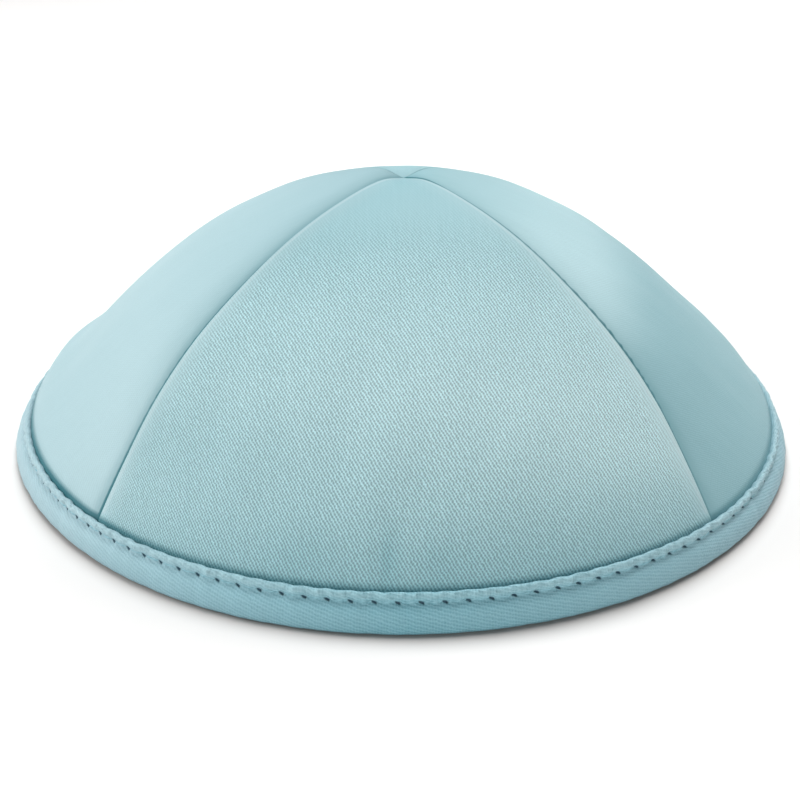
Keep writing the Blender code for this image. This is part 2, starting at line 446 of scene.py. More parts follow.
class SkullcapView(bpy.types.PropertyGroup):
    """Where the camera stands, and how strong the lights are."""

    distance: FloatProperty(
        name="Distance", description="Camera to the point it looks at",
        default=0.3123, **LENGTH)
    elevation: FloatProperty(
        name="Elevation", description="Camera's angle above the floor",
        default=math.radians(26.5), **ANGLE)
    turn: FloatProperty(
        name="Turn", description="Camera's angle round the cap, from the front",
        default=math.radians(-0.85), **ANGLE)
    roll: FloatProperty(
        name="Roll", description="How far the camera leans to one side",
        default=math.radians(0.45), **ANGLE)
    lens: FloatProperty(
        name="Focal Length", description="Lens for a sensor 36 mm wide",
        default=57.8, unit="CAMERA", min=1)
    top: FloatProperty(
        name="Top Light", description="Strength of the softbox overhead",
        default=6.3, **POWER)
    left: FloatProperty(
        name="Left Light", description="Strength of the softbox at the left",
        default=6.6, **POWER)
    front: FloatProperty(
        name="Front Light", description="Strength of the softbox low in front",
        default=3.4, **POWER)
    back: FloatProperty(
        name="Back Light", description="Strength of the softbox behind and above",
        default=2.0, **POWER)
    right: FloatProperty(
        name="Right Light", description="Strength of the softbox behind, at the right",
        default=5.0, **POWER)
    sky: FloatProperty(
        name="Sky", description="Strength of the even light from all round",
        default=0.12, min=0)


# The shape of the cloth


def round_way(degrees):
    """The level unit vector that many degrees round from the front, towards the right."""
    angle = math.radians(degrees)
    return np.array([math.sin(angle), -math.cos(angle), 0])


def section_value(column, place):
    """A column of the section table, read smoothly at places counted in rows of the table."""
    values = CROWN_SECTIONS[:, column]
    low = np.clip(place.astype(int), 0, len(values) - 2)
    share = place - low
    before = np.where(low > 0, values[np.maximum(low - 1, 0)], 2 * values[0] - values[1])
    after = np.where(low + 2 < len(values), values[np.minimum(low + 2, len(values) - 1)],
                     2 * values[-1] - values[-2])
    leave = (values[low + 1] - before) / 2
    arrive = (after - values[low]) / 2
    square, cube = share ** 2, share ** 3
    blend = 2 * cube - 3 * square + 1
    return (blend * values[low] + (cube - 2 * square + share) * leave
            + (1 - blend) * values[low + 1] + (cube - square) * arrive)


def crown_surface(sizes, facing, down, across):
    """Points of a panel's smooth outer face.

    down runs from 0 at the apex to 1 at the lip and on under the binding, and across from
    0 at the left seam to 1 at the right one. Both are grids of the same shape.
    """
    steps = len(CROWN_SECTIONS) - 1
    place = np.minimum(down, 1) * steps
    out, front, back, bulge, lean = (section_value(column, place) for column in range(5))
    radius = sizes.rim_radius - sizes.lip_inset
    tucked = np.maximum(down - 1, 0) * radius
    height = sizes.crown_height - sizes.lip_height
    ends = []
    for side in (-HALF_SPAN, HALF_SPAN):
        way = round_way(facing + side)
        rise = front if way[1] < 0 else back
        level = sizes.lip_height + rise * height - tucked
        reach = out * radius + tucked * 0.4
        ends.append(way * reach[..., None] + np.array([0, 0, 1]) * level[..., None])
    chord = ends[1] - ends[0]
    half = np.linalg.norm(chord, axis=-1) / 2
    along_way = chord / np.maximum(2 * half, 1e-9)[..., None]
    lean = np.radians(lean)
    outward = (round_way(facing) * np.cos(lean)[..., None]
               + np.array([0, 0, 1]) * np.sin(lean)[..., None])
    opening = 2 * np.arctan(2 * bulge)
    angle = opening * (2 * across - 1)
    along = half * np.sin(angle) / np.sin(opening)
    over = half * (np.cos(angle) - np.cos(opening)) / np.sin(opening)
    return (ends[0] + ends[1]) / 2 + along_way * along[..., None] + outward * over[..., None]


def grid_normals(points):
    """Outward normals of a grid of points whose rows run down and columns across."""
    below = np.gradient(points, axis=0)
    beside = np.gradient(points, axis=1)
    normal = np.cross(below, beside)
    length = np.linalg.norm(normal, axis=-1, keepdims=True)
    normal = normal / np.maximum(length, 1e-12)
    normal[0] = (0, 0, 1)
    return normal


def running_length(points, axis):
    """The length run along an axis of a grid of points, from its start."""
    steps = np.linalg.norm(np.diff(points, axis=axis), axis=-1)
    start = np.zeros_like(np.take(steps, [0], axis=axis))
    return np.concatenate([start, np.cumsum(steps, axis=axis)], axis=axis)


def bell(distance, width):
    """A smooth bump: 1 where the distance is nothing, and fading over the width."""
    return np.exp(-(distance / width) ** 2)


def ramp(value, low, high):
    """A smooth step from 0 at low to 1 at high."""
    share = np.clip((value - low) / (high - low), 0, 1)
    return share * share * (3 - 2 * share)


def grown(least, value, low, high):
    """A smooth step from a least share at low to 1 at high."""
    return least + (1 - least) * ramp(value, low, high)


def edge_relief(sizes, kind, edge):
    """How far a panel stands out beside a seam, at a distance from it."""
    ridge, dip = EDGES[kind][:2]
    full, fall, width = RIDGE
    rise = sizes.seam_ridge * ramp(edge, 0, full) * bell(np.maximum(edge - fall, 0), width)
    roll = sizes.seam_depth * (1 - ramp(edge, 0, SEAM_ROLL)) ** 1.5
    return ridge * rise - roll - dip * sizes.seam_dip * bell(edge, DIP_WIDTH)


def edge_shade(kind, edge, along):
    """How dark a panel is painted beside a seam, at a distance from it, as painted shade; below
    nothing is a painted highlight.
    """
    ridge, _, crease, valley, reach, apex, lip = EDGES[kind]
    kept = 1 - (1 - lip) * ramp(along, *CREASE_FADES)
    outside = np.maximum(edge - reach * kept / 1000, 0)
    line = crease * grown(apex, along, *CREASE_GROWS) * kept * bell(outside, CREASE_SOFTNESS)
    (narrow, narrow_width), (broad, broad_width) = VALLEY_SHADE
    fades = 1 - ramp(along, *VALLEY_FADES)
    painted_valley_shade = valley * (narrow * bell(edge, narrow_width)
                       + broad * bell(edge, broad_width) * fades)
    painted_ridge_light = sum(share * bell(edge - place, width) for share, place, width in RIDGE_LIGHT)
    return np.maximum(line, painted_valley_shade) - ridge * painted_ridge_light


def table_value(table, column, places):
    """A table's column at places along its first one, in straight steps."""
    table = np.array(table, float)
    return np.interp(places, table[:, 0], table[:, column])


def rounded(table, column, places, width):
    """A table's column at places along its first one, with its corners rounded off."""
    reach = np.linspace(-2, 2, 17) * width
    weights = bell(reach, width)
    return sum(table_value(table, column, places + step) * weight
               for step, weight in zip(reach, weights)) / weights.sum()


def painted_panel_sheen(facing, down, across):
    """How much painted sheen lightens a panel at each point, from its row of the table."""
    at_left, middle, at_right = (rounded(PAINTED_SHEEN[facing], column, down, 0.04)
                                 for column in (1, 2, 3))
    return (at_left * (1 - 2 * across) * (1 - across) + middle * 4 * across * (1 - across)
            + at_right * across * (2 * across - 1))


def round_degrees(facing, left, right):
    """How far round the cap a point lies, from its distances to its panel's seams."""
    return (facing + HALF_SPAN * (left - right) / np.maximum(left + right, 1e-6)) % 360


def paint_panel_shade(facing, edges, left, right, along):
    """How dark each point of a panel is painted in its seams and at the binding, as painted
    shade and painted shadow; below nothing is a painted highlight.
    """
    shade = edge_shade(edges[0], left, along) + edge_shade(edges[1], right, along)
    to_lip = np.maximum(along[-TUCKED_ROWS - 1] - along, 0)
    painted_contact_shadow = table_value(PAINTED_LIP_SHADOW, 1, round_degrees(facing, left, right))
    painted_contact_shadow = painted_contact_shadow * bell(to_lip, LIP_CONTACT)
    return np.where(painted_contact_shadow > 0.03, np.maximum(shade, painted_contact_shadow), shade)


def weave_clearness(left, right, along):
    """How clearly the weave shows: the satin is smooth at the apex and beside the seams."""
    beside = grown(CLEAR_AT_SEAMS[0], np.minimum(left, right), *CLEAR_AT_SEAMS[1:])
    return grown(CLEAR_AT_APEX[0], along, *CLEAR_AT_APEX[1:]) * beside


def soft_waves(first, second, seed):
    """Faint unevenness of stretched cloth, from -1 to 1: a few long waves that cross."""
    chance = np.random.default_rng(seed)
    total = np.zeros_like(first)
    for _ in range(5):
        turn = chance.uniform(0, math.tau)
        pitch = chance.uniform(*WAVE_PITCH)
        start = chance.uniform(0, math.tau)
        way = first * math.cos(turn) + second * math.sin(turn)
        total += np.cos(way / pitch * math.tau + start)
    return total / 5


def puckers(edge, length, start, end, reach, pitch, seed):
    """Short wrinkles square to a seam, between two lengths along it."""
    chance = np.random.default_rng(seed)
    drift = sum(np.sin(length / wave * math.tau + chance.uniform(0, math.tau))
                for wave in PUCKER_DRIFT)
    wave = np.sin(length / pitch * math.tau + 1.1 * drift)
    middle = (start + end) / 2
    along = bell(length - middle, (end - start) / 2)
    return wave * along * bell(edge - PUCKER_START, reach)


# Modelling tools


def start_fresh():
    """Deselects everything, in object mode."""
    if bpy.context.mode != "OBJECT":
        bpy.ops.object.mode_set(mode="OBJECT")
    bpy.ops.object.select_all(action="DESELECT")


def name_active(name):
    """Names the active object and its mesh."""
    piece = bpy.context.active_object
    piece.name = name
    piece.data.name = name
    return piece


def vertex_places(piece):
    """The places of a mesh's vertices, as an array."""
    places = np.empty(len(piece.data.vertices) * 3, np.float32)
    piece.data.vertices.foreach_get("co", places)
    return places.reshape(-1, 3).astype(float)


def move_vertices(piece, places):
    """Puts a mesh's vertices at new places."""
    piece.data.vertices.foreach_set("co", np.asarray(places, np.float32).ravel())
    piece.data.update()


def mark_vertices(piece, name, values):
    """Keeps a number at each of a mesh's vertices."""
    made = piece.data.attributes.new(name, "FLOAT", "POINT")
    made.data.foreach_set("value", np.asarray(values, np.float32))


def face_corners(piece):
    """The vertex at each corner of a mesh's faces."""
    corners = np.empty(len(piece.data.loops), np.int32)
    piece.data.loops.foreach_get("vertex_index", corners)
    return corners


def lay_uv(piece, flat):
    """Lays the cloth's UV map from each corner's place in the flat cloth, in metres."""
    layer = piece.data.uv_layers.get("cloth") or piece.data.uv_layers.new(name="cloth")
    piece.data.uv_layers.active = layer
    layer.data.foreach_set("uv", np.asarray(flat / UV_UNIT, np.float32).ravel())


def wear(piece, material):
    """Gives a finished piece its material and its place on the frame."""
    piece.data.materials.clear()
    piece.data.materials.append(material)
    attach(piece, "root")


def panel_grid():
    """How far down and across the panel each point of its grid lies."""
    rows = np.concatenate([
        np.linspace(0, 1, ROWS - TUCKED_ROWS + 1),
        1 + TUCK * np.arange(1, TUCKED_ROWS + 1) / TUCKED_ROWS,
    ])
    even = np.linspace(0, 1, COLUMNS + 1)
    columns = even - CROWDING * np.sin(math.tau * even) / math.tau
    return np.meshgrid(rows, columns, indexing="ij")


def panel_relief(sizes, facing, edges, down, left, right, along):
    """How far each point of a panel stands out from its smooth form.

    left and right are the distances from its seams, and along is the length run from the apex.
    """
    width = left + right
    fit = np.clip(width / NARROW, 0.01, 1)
    relief = fit * (edge_relief(sizes, edges[0], left / fit)
                    + edge_relief(sizes, edges[1], right / fit))
    calm = ramp(np.minimum(left, right), 0, 0.012) * ramp(1 - down, 0.0, 0.12)
    relief += CLOTH_WAVES * calm * soft_waves(left - right, along, 11 + facing)
    degrees = round_degrees(facing, left, right)
    for way, low, spread, out in SIDE_FULLNESS:
        relief += out * bell(degrees - way, FULLNESS_SPREAD) * bell(down - low, spread)
    relief += (wander(degrees, 1) * LIP_FOLLOW + LIP_LIFT) * ramp(down, 0.86, 1.0)
    for edge, depth, *place in PUCKERS.get(facing, ()):
        relief += depth * puckers(left if edge == "left" else right, along, *place)
    if facing == 0:
        relief -= front_dents(left, right, along)
    return relief


def front_dents(left, right, along):
    """How deep the front panel is dented above the binding."""
    depth = 0
    for sideways, above, wide, high, deepest in FRONT_DENTS:
        place = bell((left - right) / 2 - sideways, wide)
        depth = depth + deepest * place * bell(along[-TUCKED_ROWS - 1] - above - along, high)
    return depth


def sew_panel(sizes, name, facing, edges):
    """One panel: a grid laid over its form, walled inwards and trimmed at its seams."""
    start_fresh()
    bpy.ops.mesh.primitive_grid_add(x_subdivisions=COLUMNS, y_subdivisions=ROWS, size=1)
    piece = name_active(name)
    flat = vertex_places(piece)
    column = np.rint((flat[:, 0] + 0.5) * COLUMNS).astype(int)
    row = np.rint((0.5 - flat[:, 1]) * ROWS).astype(int)

    down, across = panel_grid()
    points = crown_surface(sizes, facing, down, across)
    from_left = running_length(points, 1)
    left, right = from_left, from_left[:, -1:] - from_left
    middle = COLUMNS // 2
    along = running_length(points, 0)[:, middle:middle + 1] * np.ones_like(down)
    relief = panel_relief(sizes, facing, edges, down, left, right, along)
    points = points + grid_normals(points) * relief[..., None]
    move_vertices(piece, points[row, column])
    cloth = np.stack([(left - from_left[:, middle:middle + 1]), -along], axis=-1)
    lay_uv(piece, cloth[row, column][face_corners(piece)])
    # Painted shade in the seams and at the binding, and painted highlights on the pressed edges
    crease = paint_panel_shade(facing, edges, left, right, along)
    # Painted sheen, with painted shade in the front panel's dents
    sheen = painted_panel_sheen(facing, down, left / np.maximum(left + right, 1e-6))
    # Painted shade in the front panel's dents
    if facing == 0:
        sheen -= DENT_SHADE * front_dents(left, right, along)
    clear = weave_clearness(left, right, along)
    for mark, values in (("crease", crease), ("sheen", sheen), ("clear", clear)):
        mark_vertices(piece, mark, values[row, column])

    bpy.ops.object.mode_set(mode="EDIT")
    bpy.ops.mesh.select_all(action="SELECT")
    bpy.ops.mesh.remove_doubles(threshold=0.00001)
    bpy.ops.object.mode_set(mode="OBJECT")
    wall = piece.modifiers.new("Wall", "SOLIDIFY")
    wall.thickness = sizes.wall
    wall.offset = -1
    bpy.ops.object.modifier_apply(modifier=wall.name)
    trim_at_seams(piece, facing)
    bpy.ops.object.shade_smooth_by_angle(angle=math.radians(40))
    return piece


def trim_at_seams(piece, facing):
    """Slides what has crossed a seam's plane back to it, so that two panels meet there."""
    places = vertex_places(piece)
    for side in (-1, 1):
        inward = round_way(facing + side * (HALF_SPAN - 90))
        crossed = np.minimum(places @ inward - SEAM_GAP, 0)
        places -= crossed[:, None] * inward
    move_vertices(piece, places)


class SKULLCAP_OT_sew_panels(bpy.types.Operator):
    """Sew the four satin panels of the crown"""

    bl_idname = "skullcap.sew_panels"
    bl_label = "Sew Panels"

    def execute(self, context):
        sizes = context.scene.skullcap_sizes
        for name, node, facing, weave, painted_gloss, *edges in PANELS:
            piece = sew_panel(sizes, name, facing, edges)
            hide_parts(node)
            wear(piece, satin(name + "_satin", context.scene.skullcap_colours, weave, painted_gloss))
        return {"FINISHED"}


# Finishes


class Value:
    """A shader socket. Arithmetic on it adds Math nodes to its material."""

    def __init__(self, finish, socket):
        self.finish = finish
        self.socket = socket

    def maths(self, operation, first, second=0.0):
        inputs = {0: first, 1: second}
        return self.finish.node("ShaderNodeMath", {"operation": operation}, inputs)

    def __add__(self, other):
        return self.maths("ADD", self, other)

    __radd__ = __add__

    def __sub__(self, other):
        return self.maths("SUBTRACT", self, other)

    def __rsub__(self, other):
        return self.maths("SUBTRACT", other, self)

    def __mul__(self, other):
        return self.maths("MULTIPLY", self, other)

    __rmul__ = __mul__

    def __truediv__(self, other):
        return self.maths("DIVIDE", self, other)

    def cosine(self):
        return self.maths("COSINE", self)

    def fraction(self):
        return self.maths("FRACT", self)

    def hump(self, width):
        """1 where this is nothing, fading to 0 over the width to both sides."""
        share = 1 - self.maths("ABSOLUTE", self) / width
        return self.finish.node("ShaderNodeMapRange", {"interpolation_type": "SMOOTHSTEP"},
                                {"Value": share})

    def clamped(self):
        return self.maths("MINIMUM", self.maths("MAXIMUM", self, 0.0), 1.0)


class Finish:
    """A material that is being made."""

    def __init__(self, name):
        self.material = bpy.data.materials.new(name)
        self.material.use_nodes = True
        self.tree = self.material.node_tree
        self.shader = self.tree.nodes["Principled BSDF"]

    def node(self, kind, settings, inputs, output=0):
        """Adds a node, sets it up, fills its sockets, and returns one of its outputs."""
        made = self.tree.nodes.new(kind)
        for setting, value in settings.items():
            setattr(made, setting, value)
        for socket, value in inputs.items():
            self.fill(made.inputs[socket], value)
        return Value(self, made.outputs[output])

    def fill(self, socket, value):
        """Links a value to a socket, or sets it there."""
        if isinstance(value, Value):
            self.tree.links.new(value.socket, socket)
        else:
            socket.default_value = value

    def surface(self, **sockets):
        """Fills sockets of the surface shader, whose names are given with underscores."""
        for name, value in sockets.items():
            self.fill(self.shader.inputs[name.replace("_", " ")], value)

    def cloth_place(self):
        """The place in the flat cloth, in millimetres, as two values."""
        uv = self.node("ShaderNodeUVMap", {"uv_map": "cloth"}, {})
        scaled = self.node("ShaderNodeVectorMath", {"operation": "SCALE"},
                           {0: uv, "Scale": UV_UNIT * 1000})
        return (self.node("ShaderNodeSeparateXYZ", {}, {0: scaled}, 0),
                self.node("ShaderNodeSeparateXYZ", {}, {0: scaled}, 1))

    def attribute(self, name):
        """A number kept at the mesh's vertices."""
        return self.node("ShaderNodeAttribute", {"attribute_name": name}, {}, 2)

    def noise(self, vector, scale, detail=2.0):
        """Fractal noise from 0 to 1."""
        return self.node("ShaderNodeTexNoise", {},
                         {"Vector": vector, "Scale": scale, "Detail": detail})

    def blend(self, share, first, second):
        """A colour between two."""
        return self.node("ShaderNodeMix", {"data_type": "RGBA"},
                         {0: share, 6: first, 7: second}, 2)

    def scaled(self, base, share):
        """A colour made brighter or darker."""
        return self.node("ShaderNodeVectorMath", {"operation": "SCALE"},
                         {0: base, "Scale": share})

    def relief(self, height, distance):
        """A bump from a height, whose full step is the distance in metres."""
        return self.node("ShaderNodeBump", {},
                         {"Strength": 1.0, "Distance": distance, "Height": height})


def satin_weave(finish, across, down, turn=0.0):
    """The satin's floats and the dips between them, from 0 to 1."""
    place = finish.node("ShaderNodeCombineXYZ", {}, {0: across, 1: down})
    wobble = finish.noise(place, 1.1) * WEAVE_WOBBLE
    uneven = finish.noise(finish.node("ShaderNodeVectorMath", {"operation": "SCALE"},
                                      {0: place, "Scale": 2.3}), 1.0)
    total = 0.0
    for run, fall, strength in WEAVE_WAVES:
        first = run * math.cos(turn) - fall * math.sin(turn)
        second = run * math.sin(turn) + fall * math.cos(turn)
        phase = (across * first + down * second + wobble) * math.tau
        total = total + phase.cosine() * (strength / 2)
    return total * (uneven * 3.2 - 0.5) + 0.5


def colour(values):
    """An opaque colour for a shader socket."""
    return (*values, 1.0)


def satin(name, colours, weave_strength, painted_gloss):
    """The panels' satin: floats and dips of its weave, faint streaks and a soft gloss, with
    painted sheen, painted gloss, painted shade in its seams and at the binding, and painted
    highlights on its pressed edges.
    """
    finish = Finish(name)
    across, down = finish.cloth_place()
    down = -1 * down
    weave = ((satin_weave(finish, across, down) - 0.5) * WEAVE_CONTRAST + 0.5).clamped()
    clear = finish.attribute("clear")
    streak_place = finish.node("ShaderNodeCombineXYZ", {}, {0: across * 1.2, 1: down * 0.06})
    streaks = finish.noise(streak_place, 1.0, 3.0)
    # Painted sheen: the satin is blended towards its painted shade where it catches less light,
    # with faint streaks
    shade = (streaks - 0.5) * 0.12 - finish.attribute("sheen") + 0.5
    base = finish.blend(shade.clamped(), colour(colours.satin), colour(colours.satin_in_painted_shade))
    base = finish.scaled(base, (weave - 0.5) * clear * (WEAVE_SHADE * weave_strength) + 1)
    # Painted gloss: the panel is blended towards the painted highlight colour
    base = finish.blend(painted_gloss, base, colour(colours.edge))
    # Painted shade in the seams and at the binding, and painted highlights on the pressed edges
    crease = finish.attribute("crease")
    base = finish.blend(crease.clamped(), base, colour(colours.crease))
    base = finish.blend((-1 * crease).clamped(), base, colour(colours.edge))
    finish.surface(Base_Color=base, Metallic=0.0, Roughness=0.5, Specular_IOR_Level=0.2,
                   Normal=finish.relief(weave * clear, WEAVE_DEPTH * weave_strength))
    return finish.material


def binding_satin(name, colours, sizes, groove_run):
    """The binding's satin, cut on the bias, with needle holes along its stitches, painted
    sheen, painted shade at its foot, on its puckers and in its needle holes, and a painted
    highlight on its lip.

    groove_run is how far along the binding's section the needle holes lie.
    """
    finish = Finish(name)
    across, down = finish.cloth_place()
    down = -1 * down - groove_run * 1000
    weave = satin_weave(finish, across, down + groove_run * 1000, math.radians(-45))
    # Painted shade, darker towards the foot
    painted_foot_shade = ((down - FOOT_FADE[0]) / FOOT_FADE[1]).clamped()
    lip = (down + LIP_MIDDLE).hump(LIP_WIDTH)
    lip_place = finish.node("ShaderNodeCombineXYZ", {},
                            {0: across, 1: (down + groove_run * 1000) * 0.7})
    # Painted light and shade on the lip's puckers, which the bump also raises
    pucker = (finish.noise(lip_place, 0.85) - 0.5) * lip
    shade = ((0.5 - weave) * BINDING_WEAVE + painted_foot_shade * FOOT_SHADE
             - pucker * PUCKER_SHADE + 0.5)
    base = finish.blend(shade.clamped(), colour(colours.binding), colour(colours.binding_shade))
    # Painted sheen: paler where the binding catches more light
    base = finish.blend(finish.attribute("sheen"), base, colour(colours.edge))
    # Painted highlight on the lip
    base = finish.blend(lip * LIP_SATIN, base, colour(colours.satin))
    pitch = 1000 * math.tau * sizes.rim_radius / sizes.stitches
    beat = (across - 1000 * STITCH_START * sizes.rim_radius) / pitch + 0.5
    off = (beat.fraction() - 0.5) * pitch
    # Painted shade in the needle holes
    hole = off.hump(HOLE_SIZE[0]) * (down - off * HOLE_SLANT).hump(HOLE_SIZE[1])
    depth = (hole * 2.2).clamped()
    base = finish.blend(depth, base, colour(colours.hole))
    finish.surface(Base_Color=base, Metallic=0.0, Roughness=0.5, Specular_IOR_Level=0.2,
                   Normal=finish.relief(weave * 0.07 + pucker * 0.9 - depth * 0.4, 0.001))
    return finish.material


def thread_finish(name, colours):
    """The sewing thread: twisted, in the binding's colour."""
    finish = Finish(name)
    uv = finish.node("ShaderNodeUVMap", {"uv_map": "UVMap"}, {})
    along = finish.node("ShaderNodeSeparateXYZ", {}, {0: uv}, 0)
    up = finish.node("ShaderNodeSeparateXYZ", {}, {0: uv}, 1)
    twist = ((along * 2.0 + up * 6.0) * math.tau).cosine() * 0.5 + 0.5
    base = finish.blend(twist * 0.5, colour(colours.binding), colour(colours.binding_shade))
    finish.surface(Base_Color=base, Metallic=0.0, Roughness=0.5,
                   Normal=finish.relief(twist, 0.00006))
    return finish.material


# The binding and its stitches


def wander(degrees, column):
    """A column of the rim's wander, in metres, read smoothly all round the cap."""
    table = np.array(RIM_WANDER, float)
    turns = np.concatenate([table[:, 0] - 360, table[:, 0], table[:, 0] + 360])
    values = np.tile(table[:, column], 3) / 1000
    fine = np.arange(-180, 540, 2.0)
    coarse = np.interp(fine, turns, values)
    kernel = bell(np.arange(-9, 10) * 2.0, 9.0)
    smooth = np.convolve(coarse, kernel / kernel.sum(), mode="same")
    return np.interp(degrees % 360, fine, smooth)


def rim_wander(degrees, share):
    """How far the binding wanders outwards and upwards, at a share of the lip's height."""
    return wander(degrees, 1) * (1 - 0.45 * share), wander(degrees, 2) * share ** 1.3


def section_loop():
    """The binding's cross-section as a smooth loop of evenly spaced points, in metres."""
    corners = np.array(BINDING_SECTION) / 1000
    count = len(corners)
    fine = np.linspace(0, count, 24 * count, endpoint=False)
    low = fine.astype(int)
    share = (fine - low)[:, None]
    before, start = corners[(low - 1) % count], corners[low % count]
    end, after = corners[(low + 1) % count], corners[(low + 2) % count]
    curve = 0.5 * (2 * start + (end - before) * share
                   + (2 * before - 5 * start + 4 * end - after) * share ** 2
                   + (3 * start - before - 3 * end + after) * share ** 3)
    steps = np.linalg.norm(np.diff(curve, axis=0, append=curve[:1]), axis=1)
    run = np.concatenate([[0], np.cumsum(steps)])
    wanted = np.linspace(0, run[-1], SECTION_POINTS, endpoint=False)
    closed = np.concatenate([curve, curve[:1]])
    loop = np.stack([np.interp(wanted, run, closed[:, axis]) for axis in range(2)], axis=1)
    return loop, wanted


def rim_shape(sizes, around, out, height):
    """Places of the binding's points, given their angles and places in the cross-section."""
    chance = np.random.default_rng(7)
    degrees = np.degrees(around)
    pitch = math.tau / sizes.stitches
    beat = (around - STITCH_START) / pitch
    nearest = np.rint(beat)
    off = (beat - nearest) * pitch * sizes.rim_radius
    # Three draws a stitch, of which the first is used
    jitter = chance.uniform(-1, 1, (3, sizes.stitches))[0]
    jitter = jitter[nearest.astype(int) % sizes.stitches]
    outer = out > OUTER_LEAF
    groove_height = GROOVE[1] / 1000
    lip = ramp(height, groove_height, groove_height + LIP_ROLL) * outer
    face = outer * (1 - lip)
    puff = 0.5 + 0.5 * np.cos(math.tau * (beat - nearest + 0.5))
    swell = LIP_SWELL * puff * lip * (1 + 0.5 * jitter)
    wrinkle = sum(np.sin(around * turns + chance.uniform(0, math.tau)) * strength
                  for turns, strength in WRINKLES)
    in_front = grown(FLAT_BEHIND, np.cos(around), 0.0, 0.7)
    swell = (swell + LIP_WRINKLES * wrinkle * lip) * in_front
    swell = swell + FACE_WRINKLES * wrinkle * face
    tug = bell(off, TUG_WIDTH) * bell(height - groove_height, TUG_WIDTH) * outer
    share = np.clip(height / sizes.lip_height, 0, 1)
    outwards, upwards = rim_wander(degrees, share)
    radius = sizes.rim_radius + out + outwards + swell - STITCH_TUG * tug
    level = height + upwards + LIP_WAVES * wrinkle * lip
    return np.stack([radius * np.sin(around), -radius * np.cos(around),
                     np.maximum(level, 0)], axis=1)


def fold_binding(sizes, name):
    """The binding: its cross-section turned round the cap, then shaped like sewn cloth."""
    loop, run = section_loop()
    start_fresh()
    bpy.ops.mesh.primitive_circle_add(vertices=SECTION_POINTS, radius=0.01, fill_type="NOTHING")
    piece = name_active(name)
    count = SECTION_POINTS
    radius = sizes.rim_radius + loop[:, 0]
    places = np.stack([np.zeros(count), -radius, loop[:, 1]], axis=1)
    move_vertices(piece, places)
    number = piece.data.attributes.new("section_point", "INT", "POINT")
    number.data.foreach_set("value", np.arange(count, dtype=np.int32))
    turn = piece.modifiers.new("Turn", "SCREW")
    turn.steps = turn.render_steps = sizes.stitches * RIM_STEPS_A_STITCH
    turn.use_merge_vertices = True
    turn.merge_threshold = 0.00001
    bpy.ops.object.modifier_apply(modifier=turn.name)
    bpy.ops.object.mode_set(mode="EDIT")
    bpy.ops.mesh.select_all(action="SELECT")
    bpy.ops.mesh.normals_make_consistent(inside=False)
    bpy.ops.object.mode_set(mode="OBJECT")

    numbers = np.empty(len(piece.data.vertices), np.int32)
    piece.data.attributes["section_point"].data.foreach_get("value", numbers)
    places = vertex_places(piece)
    around = np.arctan2(places[:, 0], -places[:, 1])
    move_vertices(piece, rim_shape(sizes, around, loop[numbers, 0], loop[numbers, 1]))
    # Painted sheen on the binding
    mark_vertices(piece, "sheen", table_value(PAINTED_RIM_SHEEN, 1, np.degrees(around) % 360))
    lay_binding_uv(sizes, piece, around, run[numbers], run[1] * SECTION_POINTS)
    piece.data.attributes.remove(piece.data.attributes["section_point"])
    bpy.ops.object.shade_smooth()
    from_groove = np.linalg.norm(loop - np.array(GROOVE) / 1000, axis=1)
    return piece, run[from_groove.argmin()]


def lay_binding_uv(sizes, piece, around, run, whole):
    """Lays the binding's UV map: round the cap across it, and along its section down it."""
    by_face = face_corners(piece).reshape(-1, 4)
    angle = around[by_face]
    angle = angle[:, :1] + (angle - angle[:, :1] + math.pi) % math.tau - math.pi
    length = run[by_face]
    length = length[:, :1] + (length - length[:, :1] + whole / 2) % whole - whole / 2
    lay_uv(piece, np.stack([angle * sizes.rim_radius, -length], axis=-1))


class SKULLCAP_OT_fold_binding(bpy.types.Operator):
    """Fold the bias binding over the rim"""

    bl_idname = "skullcap.fold_binding"
    bl_label = "Fold Binding"

    def execute(self, context):
        sizes = context.scene.skullcap_sizes
        piece, groove_run = fold_binding(sizes, "cloth_binding")
        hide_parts("rim_binding")
        wear(piece, binding_satin("binding_satin", context.scene.skullcap_colours, sizes,
                                  groove_run))
        return {"FINISHED"}


def stitch(sizes):
    """One stitch, along X: a rounded piece of thread whose ends bend into the cloth."""
    start_fresh()
    bpy.ops.mesh.primitive_uv_sphere_add(segments=10, ring_count=12, radius=0.5,
                                         rotation=(0, math.pi / 2, 0))
    bpy.ops.object.transform_apply(location=False, rotation=True, scale=False)
    piece = bpy.context.active_object
    places = vertex_places(piece)
    length = STITCH_SHARE * math.tau * sizes.rim_radius / sizes.stitches
    along = np.sin(places[:, 0] * math.pi) / 2
    full = np.sqrt(np.maximum(1 - (2 * places[:, 0]) ** 2, 0)) + 1e-6
    plump = (1 - np.abs(2 * along) ** 3 * 0.55) / full
    places[:, 1] *= sizes.thread * plump * (full > 1e-3)
    places[:, 2] *= sizes.thread * plump * (full > 1e-3)
    places[:, 1] += STITCH_DIVE * (2 * along) ** 4
    places[:, 0] = along * length
    move_vertices(piece, places)
    return piece


